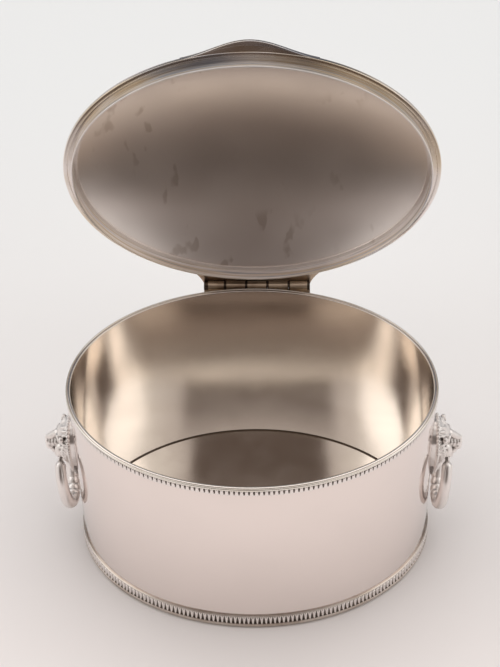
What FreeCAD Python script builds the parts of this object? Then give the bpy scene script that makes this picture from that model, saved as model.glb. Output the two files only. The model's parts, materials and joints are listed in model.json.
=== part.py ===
"""Oval silver sugar bowl with a hinged domed lid and lion-mask drop-ring handles.

Millimetres. +X runs along the oval's long axis, +Y points to the hinge at the back,
+Z is up. The origin is the centre of the plane that the foot rests on. The lid is
modelled closed and then turned to its open stop, which is the rest position.
"""
import FreeCAD, Part
import math
import os

from FreeCAD import Vector

# ---------------------------------------------------------------- driving dimensions

# Bowl
HALF_LENGTH = 73.0        # inside of the bowl, centre to end
HALF_WIDTH = 53.0         # inside of the bowl, centre to side
HEIGHT = 91.0             # table to the top of the rim
WALL = 1.2                # sheet thickness of the wall
FLOOR_UNDERSIDE = 0.6     # the floor plate clears the table
FLOOR_TOP = 1.8
SOLDER = 0.02             # film between soldered pieces

# Rim border
RIM_OUT = 2.05            # rim's outer edge, measured out from the inside of the wall
RIM_BACKING = 1.4         # face that the rim beads are laid on
RIM_BAND = 1.0            # height of the plain band over the beads
RIM_BEAD_HEIGHT = 2.7
RIM_BEAD_COUNT = 212
RIM_BEAD_OUT = 1.95

# Foot border
FOOT_HEIGHT = 8.3
FOOT_FILLET = 1.1         # plain fillet over the beads
FOOT_LIP = 2.8            # height of the plain lip under the beads
FOOT_LIP_OUT = 2.2
FOOT_STAND_OUT = 1.7      # outer edge of the flat that rests on the table
FOOT_FILLET_OUT = 2.0
FOOT_BACKING = 1.42
FOOT_BEAD_COUNT = 222
FOOT_BEAD_OUT = 2.15

# Hinge
HINGE_Y = 57.9
HINGE_DROP = 1.5          # hinge axis below the top of the rim
HINGE_Z = HEIGHT - HINGE_DROP
BARREL_RADIUS = 2.0
PIN_RADIUS = 0.9
FIXED_BORE = PIN_RADIUS + SOLDER
RUNNING_BORE = PIN_RADIUS + 0.05
HINGE_LENGTH = 44.9
HINGE_CENTRE_X = 1.2      # the barrel sits a little to the right of the bowl's middle
KNUCKLE_COUNT = 5
KNUCKLE_GAP = 0.1
PIN_RECESS = 0.9          # the pin stops short of the barrel's ends
FLARE_HALF_LENGTH = 28.5  # the lid's hinge bracket widens to this at the lid border
SHELF_DEPTH = 6.0         # height of the bowl's bracket down the wall
LUG_THICKNESS = 2.4
BRACKET_BACK = 1.0        # back of the bowl's bracket, behind the hinge axis
INSIDE_Y = 40.0           # a depth well inside the bowl, cut away with the oval
OPEN_ANGLE = 95.0         # closed to the open stop

# Lid, heights are measured up from the top of the rim when the lid is closed
SEAT_GAP = 0.05
BEZEL_OUT = -0.35         # collar's outside, against the inside of the wall
BEZEL_THICKNESS = 0.75
BEZEL_DEPTH = 4.2
STEP_BOTTOM = 1.2
STEP_TOP = 2.0
STEP_WIDTH = 1.5
LID_OUT = 3.15
BORDER_TOP = 4.2
DOME_TOP = 17.0
DOME_THICKNESS = 0.9
DOME_SPRING = 3.2         # height at which the dome's side begins to curve in
DOME_EDGE_TURN = 60.0     # degrees of the ellipse from the crown to the dome's edge

# Thumb-piece
THUMB_REACH = 4.3
THUMB_HALF_LENGTH = 23.0
THUMB_TIP_HALF = 6.0
THUMB_BOTTOM = 0.5
THUMB_TOP = 2.1
THUMB_FLANK = 0.947       # where the flanks meet the border, as a share of its half width
THUMB_ROOT_Y = -48.0      # a depth inside the border, cut away with the oval

# Handles
PLATE_CENTRE_Z = 52.0
PLATE_HALF_HEIGHT = 17.0
PLATE_HALF_WIDTH = 8.5
PLATE_FACE_X = 77.4
PLATE_EDGE = 1.2          # depth and width of the plate's bevelled edge
INSIDE_X = 60.0           # a depth well inside the bowl, cut away with the oval
MASK_CENTRE_Z = 56.3
MASK_HALF_WIDTH = 9.2
MASK_HALF_HEIGHT = 10.6
NOSE_X = 86.6
NOSE_Z = 54.4
RING_PIVOT_X = 80.6
RING_PIVOT_Z = 49.0
RING_BAR_RADIUS = 0.95
MOUTH_BORE = 1.03
JAW_RADIUS = 2.5
JAW_HALF_WIDTH = 4.1
ARM_ROOM = 0.5            # clearance beside the jaw, where the ring's arms turn down
BEYOND = 30.0             # cutting tools reach this far past the mask
RING_BAR_HALF = 4.4
RING_HALF_WIDTH = 11.5
RING_DROP = 28.0          # pivot axis to the middle of the ring's thick bottom
RING_SHOULDER = 0.45      # share of the drop at which the ring is widest
RING_BOTTOM_RADIUS = 3.0
RING_ARM_RADIUS = 2.1
RING_ARM_SHARE = 0.25     # share of the way down at which the arm has its full thickness
RING_SWELL_SHARE = 0.3    # share of the way down at which it begins to swell to the bottom
RING_STATIONS = 16
RING_LEAN = 5.0           # degrees that the hanging ring leans in to the wall

# ---------------------------------------------------------------- oval building blocks

X_AXIS = Vector(1, 0, 0)
Y_AXIS = Vector(0, 1, 0)
Z_AXIS = Vector(0, 0, 1)
ORIGIN = Vector(0, 0, 0)


def oval_wire(out, z):
    """The bowl's inside outline moved out by `out`, at height z."""
    ellipse = Part.Ellipse(Vector(0, 0, z), HALF_LENGTH + out, HALF_WIDTH + out)
    return Part.Wire(ellipse.toShape())


def oval_disc(out, bottom, top):
    """A solid oval slab."""
    face = Part.Face(oval_wire(out, bottom))
    return face.extrude(Vector(0, 0, top - bottom))


def oval_ring(inner, outer, bottom, top):
    """A straight-sided oval ring."""
    wires = [oval_wire(outer, bottom), oval_wire(inner, bottom)]
    face = Part.makeFace(wires, "Part::FaceMakerBullseye")
    return face.extrude(Vector(0, 0, top - bottom))


def oval_moulding(inner, outline):
    """An oval ring with a straight inside and the (out, z) outline as its outside."""
    sections = [oval_wire(out, z) for out, z in outline]
    body = Part.makeLoft(sections, True, True)
    bottom = outline[0][1]
    top = outline[-1][1]
    return body.cut(oval_disc(inner, bottom - 1, top + 1))


def beaded_strip(inner, valley, crest, count, bottom, top):
    """An oval strip whose outside is a row of equal upright half-round beads."""
    edges = []
    stations = equal_arc_parameters(valley, 2 * count)
    points = [oval_point(valley, t, bottom) for t in stations]
    for index in range(count):
        start = points[2 * index]
        end = points[(2 * index + 2) % (2 * count)]
        peak = oval_point(crest, stations[2 * index + 1], bottom)
        edges.append(Part.Arc(start, peak, end).toShape())
    wires = [Part.Wire(edges), oval_wire(inner, bottom)]
    face = Part.makeFace(wires, "Part::FaceMakerBullseye")
    return face.extrude(Vector(0, 0, top - bottom))


def oval_point(out, angle, z):
    """A point on the moved-out oval at a parameter angle."""
    x = (HALF_LENGTH + out) * math.cos(angle)
    y = (HALF_WIDTH + out) * math.sin(angle)
    return Vector(x, y, z)


def equal_arc_parameters(out, count):
    """Parameter angles that cut the oval into `count` stretches of equal length."""
    fine = 14400
    points = [oval_point(out, 2 * math.pi * i / fine, 0) for i in range(fine + 1)]
    lengths = [0.0]
    for before, after in zip(points, points[1:]):
        lengths.append(lengths[-1] + before.distanceToPoint(after))
    angles = []
    step = 0
    for index in range(count):
        target = lengths[-1] * index / count
        while lengths[step + 1] < target:
            step += 1
        share = (target - lengths[step]) / (lengths[step + 1] - lengths[step])
        angles.append(2 * math.pi * (step + share) / fine)
    return angles


def tube_along_x(radius, bore, start, end):
    """A tube on the hinge axis; a bore of zero makes it solid."""
    centre = Vector(start, HINGE_Y, HINGE_Z)
    tube = Part.makeCylinder(radius, end - start, centre, X_AXIS)
    if bore > 0:
        tube = tube.cut(Part.makeCylinder(bore, end - start, centre, X_AXIS))
    return tube


def opened(shape):
    """Turn a piece of the closed lid about the hinge to the open stop."""
    result = shape.copy()
    result.rotate(Vector(0, HINGE_Y, HINGE_Z), X_AXIS, -OPEN_ANGLE)
    return result


def mirrored(shape):
    """The same piece at the other end of the bowl."""
    return shape.mirror(ORIGIN, X_AXIS)


# ---------------------------------------------------------------- bowl

def wall():
    return oval_ring(0, WALL, FLOOR_UNDERSIDE, HEIGHT)


def floor():
    return oval_disc(-SOLDER, FLOOR_UNDERSIDE, FLOOR_TOP)


def rim_moulding():
    """Plain band that stands out over a thin backing for the beads."""
    edge = 0.15
    band_bottom = HEIGHT - RIM_BAND
    backing_bottom = band_bottom - RIM_BEAD_HEIGHT - 0.2
    inner = WALL + SOLDER
    backing = oval_ring(inner, RIM_BACKING, backing_bottom, band_bottom)
    outline = [(RIM_OUT, band_bottom), (RIM_OUT, HEIGHT - edge), (RIM_OUT - edge, HEIGHT)]
    band = oval_moulding(inner, outline)
    return backing.fuse(band).removeSplitter()


def rim_beads():
    top = HEIGHT - RIM_BAND - SOLDER
    inner = RIM_BACKING + SOLDER
    valley = inner + 0.12
    return beaded_strip(inner, valley, RIM_BEAD_OUT, RIM_BEAD_COUNT, top - RIM_BEAD_HEIGHT, top)


def foot_moulding():
    """Fillet at the top, backing for the beads, and the lip that the bowl stands on."""
    inner = WALL + SOLDER
    fillet_bottom = FOOT_HEIGHT - FOOT_FILLET
    fillet = oval_moulding(inner, [
        (FOOT_FILLET_OUT, fillet_bottom),
        (FOOT_FILLET_OUT, fillet_bottom + 0.6),
        (FOOT_FILLET_OUT - 0.4, FOOT_HEIGHT),
    ])
    backing = oval_ring(inner, FOOT_BACKING, FOOT_LIP, fillet_bottom)
    lip = oval_moulding(inner, [
        (FOOT_STAND_OUT, 0),
        (FOOT_LIP_OUT - 0.1, 0.9),
        (FOOT_LIP_OUT, 1.9),
        (FOOT_LIP_OUT - 0.1, FOOT_LIP),
    ])
    return lip.fuse([backing, fillet]).removeSplitter()


def foot_beads():
    inner = FOOT_BACKING + SOLDER
    valley = inner + 0.1
    bottom = FOOT_LIP + SOLDER
    top = FOOT_HEIGHT - FOOT_FILLET - SOLDER
    return beaded_strip(inner, valley, FOOT_BEAD_OUT, FOOT_BEAD_COUNT, bottom, top)


# ---------------------------------------------------------------- hinge

def knuckle_span(index):
    """Start and end along X of knuckle 0 to 4, counted from the left."""
    pitch = HINGE_LENGTH / KNUCKLE_COUNT
    start = HINGE_CENTRE_X - HINGE_LENGTH / 2 + index * pitch
    return start + KNUCKLE_GAP / 2, start + pitch - KNUCKLE_GAP / 2


def body_knuckle(index):
    start, end = knuckle_span(index)
    return tube_along_x(BARREL_RADIUS, FIXED_BORE, start, end)


def lid_knuckle(index):
    start, end = knuckle_span(index)
    return tube_along_x(BARREL_RADIUS, RUNNING_BORE, start, end)


def barrel_room():
    """Solid bar that clears the whole barrel out of a bracket."""
    half = HINGE_LENGTH / 2
    return tube_along_x(BARREL_RADIUS + SOLDER, 0, HINGE_CENTRE_X - half, HINGE_CENTRE_X + half)


def hinge_pin():
    half = HINGE_LENGTH / 2 - PIN_RECESS
    return tube_along_x(PIN_RADIUS, 0, HINGE_CENTRE_X - half, HINGE_CENTRE_X + half)


def hinge_bracket():
    """Shelf on the back of the wall with a lug under each of the bowl's knuckles."""
    shelf_top = HEIGHT - RIM_BAND - RIM_BEAD_HEIGHT - 0.4
    shelf_bottom = shelf_top - SHELF_DEPTH
    back = HINGE_Y + BRACKET_BACK
    left = HINGE_CENTRE_X - HINGE_LENGTH / 2
    profile = Part.makePolygon([
        Vector(left, INSIDE_Y, shelf_bottom),
        Vector(left, HALF_WIDTH + WALL + 0.6, shelf_bottom),
        Vector(left, back, shelf_top - 1.6),
        Vector(left, back, shelf_top),
        Vector(left, INSIDE_Y, shelf_top),
        Vector(left, INSIDE_Y, shelf_bottom),
    ])
    bracket = Part.Face(profile).extrude(Vector(HINGE_LENGTH, 0, 0))
    bracket = bracket.cut(oval_disc(WALL + SOLDER, 0, HEIGHT))
    for index in (0, 2, 4):
        start, end = knuckle_span(index)
        corner = Vector(start, back - LUG_THICKNESS, shelf_top - 0.5)
        lug = Part.makeBox(end - start, LUG_THICKNESS, HINGE_Z - 1.0 - corner.z, corner)
        bracket = bracket.fuse(lug)
    return bracket.cut(barrel_room()).removeSplitter()


def flared_outline(bottom):
    """Seen from above: barrel length at the back, concave flanks out to the lid border."""
    half = HINGE_LENGTH / 2
    rear = HINGE_Y + 0.6
    lid_edge = HALF_WIDTH + LID_OUT
    flare_y = lid_edge * math.sqrt(1 - (FLARE_HALF_LENGTH / (HALF_LENGTH + LID_OUT)) ** 2)
    edges = [Part.LineSegment(Vector(-half, rear, bottom), Vector(half, rear, bottom)).toShape()]
    for side in (1, -1):
        barrel_end = Vector(side * half, rear, bottom)
        middle = Vector(side * (half + 1.7), rear - 3.4, bottom)
        lid_end = Vector(side * FLARE_HALF_LENGTH, flare_y - 1.0, bottom)
        inner_end = Vector(side * FLARE_HALF_LENGTH, INSIDE_Y, bottom)
        edges.append(Part.Arc(barrel_end, middle, lid_end).toShape())
        edges.append(Part.LineSegment(lid_end, inner_end).toShape())
    left_end = Vector(-FLARE_HALF_LENGTH, INSIDE_Y, bottom)
    right_end = Vector(FLARE_HALF_LENGTH, INSIDE_Y, bottom)
    edges.append(Part.LineSegment(left_end, right_end).toShape())
    outline = Part.Wire(Part.__sortEdges__(edges))
    outline.translate(Vector(HINGE_CENTRE_X, 0, 0))
    return outline


def lid_hinge_bracket():
    """Plate from the lid border out over the barrel, with a lug down to each lid knuckle."""
    top = HEIGHT + 1.7
    bottom = HINGE_Z + BARREL_RADIUS + 0.1
    plate = Part.Face(flared_outline(bottom)).extrude(Vector(0, 0, top - bottom))
    plate = plate.cut(oval_disc(LID_OUT + SOLDER, HEIGHT - 1, HEIGHT + 5))
    lug_bottom = HINGE_Z + 1.0
    for index in (1, 3):
        start, end = knuckle_span(index)
        corner = Vector(start, HINGE_Y - 1.4, lug_bottom)
        plate = plate.fuse(Part.makeBox(end - start, 2.0, top - lug_bottom, corner))
    plate = plate.cut(barrel_room())
    return opened(plate.removeSplitter())


# ---------------------------------------------------------------- lid

def lid_border():
    """Rounded edge with a hollow-curved rise to the dome."""
    h = HEIGHT
    outline = [
        (LID_OUT - 0.25, h + SEAT_GAP),
        (LID_OUT, h + 0.4),
        (LID_OUT, h + 1.5),
        (LID_OUT - 0.3, h + 1.95),
        (LID_OUT - 0.9, h + 2.15),
        (1.4, h + 2.3),
        (0.6, h + 2.7),
        (0.1, h + 3.3),
        (-0.1, h + BORDER_TOP),
    ]
    return opened(oval_moulding(BEZEL_OUT + SOLDER, outline))


def lid_bezel():
    inner = BEZEL_OUT - BEZEL_THICKNESS
    return opened(oval_ring(inner, BEZEL_OUT, HEIGHT - BEZEL_DEPTH, HEIGHT + STEP_BOTTOM - SOLDER))


def lid_step_ring():
    inner = BEZEL_OUT - BEZEL_THICKNESS - STEP_WIDTH
    return opened(oval_ring(inner, BEZEL_OUT, HEIGHT + STEP_BOTTOM, HEIGHT + STEP_TOP - SOLDER))


def dome_curve(radius, crown, spring):
    """Arc of an ellipse from the crown on the axis down to the dome's edge."""
    turn = math.radians(DOME_EDGE_TURN)
    height = (crown - spring) / (1 - math.cos(turn))
    centre = Vector(0, 0, crown - height)
    side = Vector(radius / math.sin(turn), 0, centre.z)
    ellipse = Part.Ellipse(Vector(0, 0, crown), side, centre)
    return Part.Arc(ellipse, 0, turn).toShape()


def lid_dome():
    """Thin dome, turned round at unit size and then stretched to the oval."""
    base = HEIGHT + STEP_TOP
    spring = HEIGHT + DOME_SPRING
    crown = HEIGHT + DOME_TOP
    stretch_x = HALF_LENGTH + BEZEL_OUT
    stretch_y = HALF_WIDTH + BEZEL_OUT
    inner = 1 - 2 * DOME_THICKNESS / (stretch_x + stretch_y)
    inner_crown = crown - DOME_THICKNESS
    edges = [
        Part.LineSegment(Vector(inner, 0, base), Vector(1, 0, base)).toShape(),
        Part.LineSegment(Vector(1, 0, base), Vector(1, 0, spring)).toShape(),
        dome_curve(1, crown, spring),
        Part.LineSegment(Vector(0, 0, crown), Vector(0, 0, inner_crown)).toShape(),
        dome_curve(inner, inner_crown, spring),
        Part.LineSegment(Vector(inner, 0, spring), Vector(inner, 0, base)).toShape(),
    ]
    profile = Part.Wire(Part.__sortEdges__(edges))
    round_dome = Part.Face(profile).revolve(ORIGIN, Z_AXIS, 360)
    stretch = FreeCAD.Matrix()
    stretch.scale(Vector(stretch_x, stretch_y, 1))
    return opened(round_dome.transformGeometry(stretch))


def thumb_piece():
    """Lifting tab with straight flanks and a rounded tip, at the front of the lid."""
    bottom = HEIGHT + THUMB_BOTTOM
    edge = HALF_WIDTH + LID_OUT
    tip = -(edge + THUMB_REACH)
    shoulder = tip + 0.7
    corner_left = Vector(-THUMB_HALF_LENGTH, THUMB_ROOT_Y, bottom)
    corner_right = Vector(THUMB_HALF_LENGTH, THUMB_ROOT_Y, bottom)
    flank_left = Vector(-THUMB_HALF_LENGTH, -edge * THUMB_FLANK, bottom)
    flank_right = Vector(THUMB_HALF_LENGTH, -edge * THUMB_FLANK, bottom)
    left = Vector(-THUMB_TIP_HALF, shoulder, bottom)
    right = Vector(THUMB_TIP_HALF, shoulder, bottom)
    edges = [
        Part.LineSegment(corner_left, flank_left).toShape(),
        Part.LineSegment(flank_left, left).toShape(),
        Part.Arc(left, Vector(0, tip, bottom), right).toShape(),
        Part.LineSegment(right, flank_right).toShape(),
        Part.LineSegment(flank_right, corner_right).toShape(),
        Part.LineSegment(corner_right, corner_left).toShape(),
    ]
    tab = Part.Face(Part.Wire(edges)).extrude(Vector(0, 0, THUMB_TOP - THUMB_BOTTOM))
    return opened(tab.cut(oval_disc(LID_OUT + SOLDER, HEIGHT, HEIGHT + 5)))


# ---------------------------------------------------------------- handles

def upright_oval(x, z, half_width, half_height):
    """An oval outline facing +X, centred on the middle plane."""
    ellipse = Part.Ellipse(ORIGIN, half_height, half_width)
    wire = Part.Wire(ellipse.toShape())
    wire.rotate(ORIGIN, Y_AXIS, -90)
    wire.translate(Vector(x, 0, z))
    return wire


def handle_plate():
    """Backing plate, shaped to the wall behind and domed a little in front."""
    face_width = PLATE_HALF_WIDTH - PLATE_EDGE
    face_height = PLATE_HALF_HEIGHT - PLATE_EDGE
    sections = [
        upright_oval(INSIDE_X, PLATE_CENTRE_Z, PLATE_HALF_WIDTH, PLATE_HALF_HEIGHT),
        upright_oval(PLATE_FACE_X - PLATE_EDGE, PLATE_CENTRE_Z, PLATE_HALF_WIDTH, PLATE_HALF_HEIGHT),
        upright_oval(PLATE_FACE_X, PLATE_CENTRE_Z, face_width, face_height),
    ]
    plate = Part.makeLoft(sections, True, True)
    return plate.cut(oval_disc(WALL + SOLDER, 0, HEIGHT))


def mask():
    """Lion's head: mane, muzzle and a jaw that is bored for the ring."""
    back = PLATE_FACE_X + SOLDER
    mane = Part.makeLoft([
        upright_oval(back, MASK_CENTRE_Z, MASK_HALF_WIDTH - 0.6, MASK_HALF_HEIGHT - 0.6),
        upright_oval(back + 1.6, MASK_CENTRE_Z, MASK_HALF_WIDTH, MASK_HALF_HEIGHT),
        upright_oval(back + 3.6, MASK_CENTRE_Z, MASK_HALF_WIDTH * 0.8, MASK_HALF_HEIGHT * 0.82),
        upright_oval(back + 4.9, MASK_CENTRE_Z, MASK_HALF_WIDTH * 0.45, MASK_HALF_HEIGHT * 0.5),
    ], True)
    muzzle = Part.makeLoft([
        upright_oval(back + 1.0, NOSE_Z, 4.6, 5.0),
        upright_oval(NOSE_X - 2.4, NOSE_Z, 4.0, 4.2),
        upright_oval(NOSE_X - 0.6, NOSE_Z, 3.2, 3.2),
        upright_oval(NOSE_X, NOSE_Z, 1.8, 1.8),
    ], True)
    pivot = Vector(RING_PIVOT_X, 0, RING_PIVOT_Z)
    start = pivot - Y_AXIS * JAW_HALF_WIDTH
    jaw = Part.makeCylinder(JAW_RADIUS, 2 * JAW_HALF_WIDTH, start, Y_AXIS)
    neck_depth = pivot.x + JAW_RADIUS - back
    neck_corner = Vector(back, -JAW_HALF_WIDTH, RING_PIVOT_Z)
    neck = Part.makeBox(neck_depth, 2 * JAW_HALF_WIDTH, NOSE_Z - RING_PIVOT_Z, neck_corner)
    head = mane.fuse([muzzle, jaw, neck])
    head = head.cut(Part.makeCylinder(MOUTH_BORE, 2 * BEYOND, pivot - Y_AXIS * BEYOND, Y_AXIS))
    room = RING_ARM_RADIUS + ARM_ROOM
    for side in (1, -1):
        axis = Y_AXIS * side
        mouth_side = pivot + axis * JAW_HALF_WIDTH
        head = head.cut(Part.makeCylinder(room, BEYOND, mouth_side, axis))
        low_y = min(mouth_side.y, mouth_side.y + side * BEYOND)
        corner = Vector(pivot.x - room, low_y, RING_PIVOT_Z - BEYOND)
        head = head.cut(Part.makeBox(BEYOND, BEYOND, BEYOND, corner))
    return head.removeSplitter()


def ring_station(share):
    """Centre-line point and direction angle of the +Y half, share 0 at the bar, 1 at the bottom.

    The angle is measured from +Y towards -Z. The line is two quarter ellipses.
    """
    if share < 0.5:
        turn = math.pi * share
        centre_y = RING_BAR_HALF
        half_width = RING_HALF_WIDTH - RING_BAR_HALF
        half_height = RING_DROP * RING_SHOULDER
        y = centre_y + half_width * math.sin(turn)
        z = -half_height * (1 - math.cos(turn))
    else:
        turn = math.pi * (share - 0.5)
        half_width = RING_HALF_WIDTH
        half_height = RING_DROP * (1 - RING_SHOULDER)
        y = half_width * math.cos(turn)
        z = -RING_DROP * RING_SHOULDER - half_height * math.sin(turn)
        turn = turn + math.pi / 2
    along_y = half_width * math.cos(turn)
    along_down = half_height * math.sin(turn)
    return Vector(RING_PIVOT_X, y, RING_PIVOT_Z + z), math.atan2(along_down, along_y)


def eased(share):
    """Smooth rise from 0 to 1 that stays level outside that range."""
    share = min(1.0, max(0.0, share))
    return share * share * (3 - 2 * share)


def ring():
    """Drop ring: a thin straight bar at the top swelling to a thick bottom."""
    sections = []
    for index in range(RING_STATIONS + 1):
        share = index / RING_STATIONS
        swell = (share - RING_SWELL_SHARE) / (1 - RING_SWELL_SHARE)
        radius = RING_BAR_RADIUS + (RING_ARM_RADIUS - RING_BAR_RADIUS) * eased(share / RING_ARM_SHARE)
        radius += (RING_BOTTOM_RADIUS - RING_ARM_RADIUS) * eased(swell)
        point, angle = ring_station(share)
        circle = Part.Wire(Part.Circle(ORIGIN, Y_AXIS, radius).toShape())
        circle.rotate(ORIGIN, X_AXIS, -math.degrees(angle))
        circle.translate(point)
        sections.append(circle)
    half = Part.makeLoft(sections, True)
    other_half = half.mirror(ORIGIN, Y_AXIS)
    pivot = Vector(RING_PIVOT_X, 0, RING_PIVOT_Z)
    bar_start = pivot - Y_AXIS * RING_BAR_HALF
    bar = Part.makeCylinder(RING_BAR_RADIUS, 2 * RING_BAR_HALF, bar_start, Y_AXIS)
    whole = half.fuse([other_half, bar]).removeSplitter()
    whole.rotate(pivot, Y_AXIS, RING_LEAN)
    return whole


# ---------------------------------------------------------------- write the sub-parts

def sub_parts():
    right_plate = handle_plate()
    right_mask = mask()
    right_ring = ring()
    return {
        "wall": wall(),
        "floor": floor(),
        "rim_moulding": rim_moulding(),
        "rim_beads": rim_beads(),
        "foot_moulding": foot_moulding(),
        "foot_beads": foot_beads(),
        "hinge_bracket": hinge_bracket(),
        "body_knuckle_left": body_knuckle(0),
        "body_knuckle_middle": body_knuckle(2),
        "body_knuckle_right": body_knuckle(4),
        "hinge_pin": hinge_pin(),
        "right_handle_plate": right_plate,
        "left_handle_plate": mirrored(right_plate),
        "right_mask": right_mask,
        "left_mask": mirrored(right_mask),
        "right_ring": right_ring,
        "left_ring": mirrored(right_ring),
        "lid_dome": lid_dome(),
        "lid_border": lid_border(),
        "lid_bezel": lid_bezel(),
        "lid_step_ring": lid_step_ring(),
        "lid_hinge_bracket": lid_hinge_bracket(),
        "lid_knuckle_left": lid_knuckle(1),
        "lid_knuckle_right": lid_knuckle(3),
        "thumb_piece": thumb_piece(),
    }


def main():
    os.makedirs("parts", exist_ok=True)
    for name, shape in sub_parts().items():
        shape.exportStep("parts/" + name + ".step")
        solids = len(shape.Solids)
        print(name, "solids", solids, "valid", shape.isValid(), "volume", round(shape.Volume, 2))


main()
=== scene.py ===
"""Looks of the oval silver sugar bowl: fine meshes, silver materials, studio and camera.

Shapes are worked out in millimetres in the bowl's own frame and scaled to metres as each mesh
is made. Lid pieces are shaped as if the lid were closed and then turned to the open rest pose.
"""
import json
import math

import bmesh
import bpy
import numpy as np
from mathutils import Matrix, Vector


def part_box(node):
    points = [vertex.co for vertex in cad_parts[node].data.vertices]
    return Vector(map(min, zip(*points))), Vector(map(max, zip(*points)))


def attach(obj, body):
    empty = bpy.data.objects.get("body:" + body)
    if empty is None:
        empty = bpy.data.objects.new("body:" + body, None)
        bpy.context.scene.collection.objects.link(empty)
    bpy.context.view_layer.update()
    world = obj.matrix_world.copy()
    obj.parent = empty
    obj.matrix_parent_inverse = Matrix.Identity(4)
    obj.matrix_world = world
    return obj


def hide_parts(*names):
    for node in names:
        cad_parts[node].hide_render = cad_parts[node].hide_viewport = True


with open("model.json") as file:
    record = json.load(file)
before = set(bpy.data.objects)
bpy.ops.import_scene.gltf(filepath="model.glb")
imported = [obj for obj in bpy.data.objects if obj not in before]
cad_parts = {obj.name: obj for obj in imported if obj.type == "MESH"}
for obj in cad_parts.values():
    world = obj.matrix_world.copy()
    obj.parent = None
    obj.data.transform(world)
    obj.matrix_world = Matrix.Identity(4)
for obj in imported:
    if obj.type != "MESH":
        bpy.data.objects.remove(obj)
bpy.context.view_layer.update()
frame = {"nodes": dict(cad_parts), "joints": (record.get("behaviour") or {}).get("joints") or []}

# ------------------------------------------------------------------ measures from the frame

MM = 0.001
JOINTS = {joint["name"]: joint for joint in frame["joints"]}


def box_mm(node):
    """Lowest and highest corner of a CAD node in millimetres."""
    low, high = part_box(node)
    return low / MM, high / MM


A = box_mm("floor")[1].x            # half length inside the bowl
B = box_mm("floor")[1].y            # half width inside the bowl
FLOOR_Z = box_mm("floor")[1].z
WALL_OUT = box_mm("wall")[1].x - A  # outside of the wall, measured out from its inside
WALL_LOW = box_mm("wall")[0].z
RIM_Z = box_mm("wall")[1].z
RIM_OUT = box_mm("rim_moulding")[1].x - A
FOOT_TOP = box_mm("foot_moulding")[1].z
FOOT_OUT = box_mm("foot_moulding")[1].x - A
LID_OUT = box_mm("lid_border")[1].x - A
HINGE = Vector(JOINTS["lid_hinge"]["pos_m"]) / MM
OPEN_ANGLE = JOINTS["lid_hinge"]["range_deg"][1]
RING_PIVOT = Vector(JOINTS["right_ring_swing"]["pos_m"]) / MM
PLATE_LOW, PLATE_HIGH = box_mm("right_handle_plate")
MASK_BACK = box_mm("right_mask")[0].x

AROUND = 720                        # stations round the oval
FIT_GAP = 0.02                      # room between the wall and a moulding soldered round it
KNUCKLE_SIDES = 64
PIN_SIDES = 32

# ------------------------------------------------------------------ mesh helpers


def oval_angles(count):
    """Parameter angles that cut the oval into stretches of equal length."""
    fine = np.linspace(0, 2 * math.pi, 20001)
    speed = np.hypot((A + 1) * np.sin(fine), (B + 1) * np.cos(fine))
    length = np.concatenate([[0], np.cumsum((speed[1:] + speed[:-1]) / 2)])
    return np.interp(np.arange(count) / count * length[-1], length, fine)


def grid_faces(rows, columns, close_rows=True):
    """Quads of a grid whose vertex number is row * columns + column; each row closes on itself."""
    faces = []
    for i in range(rows if close_rows else rows - 1):
        for j in range(columns):
            i2 = (i + 1) % rows
            j2 = (j + 1) % columns
            faces.append((i * columns + j, i2 * columns + j, i2 * columns + j2, i * columns + j2))
    return faces


def rounded(corners, steps=4):
    """A closed outline from (out, z, radius) corners, each rounded by its radius."""
    points = []
    count = len(corners)
    for index in range(count):
        here = Vector(corners[index][:2])
        radius = corners[index][2]
        before = Vector(corners[index - 1][:2]) - here
        after = Vector(corners[(index + 1) % count][:2]) - here
        if radius == 0:
            points.append(tuple(here))
            continue
        half_angle = before.angle(after) / 2
        reach = min(radius / math.tan(half_angle), before.length * 0.49, after.length * 0.49)
        start = here + before.normalized() * reach
        end = here + after.normalized() * reach
        for step in range(steps + 1):
            t = step / steps
            point = start * (1 - t) ** 2 + here * 2 * t * (1 - t) + end * t ** 2
            points.append(tuple(point))
    return points


def make_piece(name, verts, faces, material, body, stands_for=(), sharp=35, on_lid=False):
    """A smooth-shaded mesh object from millimetre vertices, riding on its body."""
    mesh = bpy.data.meshes.new(name)
    mesh.from_pydata([tuple(v) for v in np.asarray(verts, float) * MM], [], faces)
    return finish_mesh(name, mesh, material, body, stands_for, sharp, on_lid)


def finish_mesh(name, mesh, material, body, stands_for, sharp, on_lid=False):
    """Turns normals outward, shades smooth, and places the mesh on its body."""
    work = bmesh.new()
    work.from_mesh(mesh)
    bmesh.ops.recalc_face_normals(work, faces=work.faces)
    work.to_mesh(mesh)
    work.free()
    remember_place(mesh)
    if on_lid:
        mesh.transform(LID_OPEN)
    mesh.shade_smooth()
    mesh.set_sharp_from_angle(angle=math.radians(sharp))
    mesh.materials.append(material)
    piece = bpy.data.objects.new(name, mesh)
    bpy.context.scene.collection.objects.link(piece)
    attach(piece, body)
    if stands_for:
        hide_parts(*stands_for)
    return piece


def remember_place(mesh):
    """Stores each vertex's place in the closed, level bowl, so that toning can follow the shape."""
    coords = np.empty(len(mesh.vertices) * 3, np.float32)
    mesh.vertices.foreach_get("co", coords)
    place = mesh.attributes.new("place", "FLOAT_VECTOR", "POINT")
    place.data.foreach_set("vector", coords)


def remember_gaps(piece, values):
    """Stores how far each vertex is darkened as a hollow, painted shade with some oxide, 0 in the open
    and 1 in a gap.
    """
    gap = piece.data.attributes.new("gap", "FLOAT", "POINT")
    gap.data.foreach_set("value", np.asarray(values, np.float32))


def lid_open_matrix():
    """Turns the closed lid back about the hinge to its rest pose."""
    pivot = Matrix.Translation(HINGE * MM)
    return pivot @ Matrix.Rotation(math.radians(-OPEN_ANGLE), 4, "X") @ pivot.inverted()


LID_OPEN = lid_open_matrix()


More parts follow.
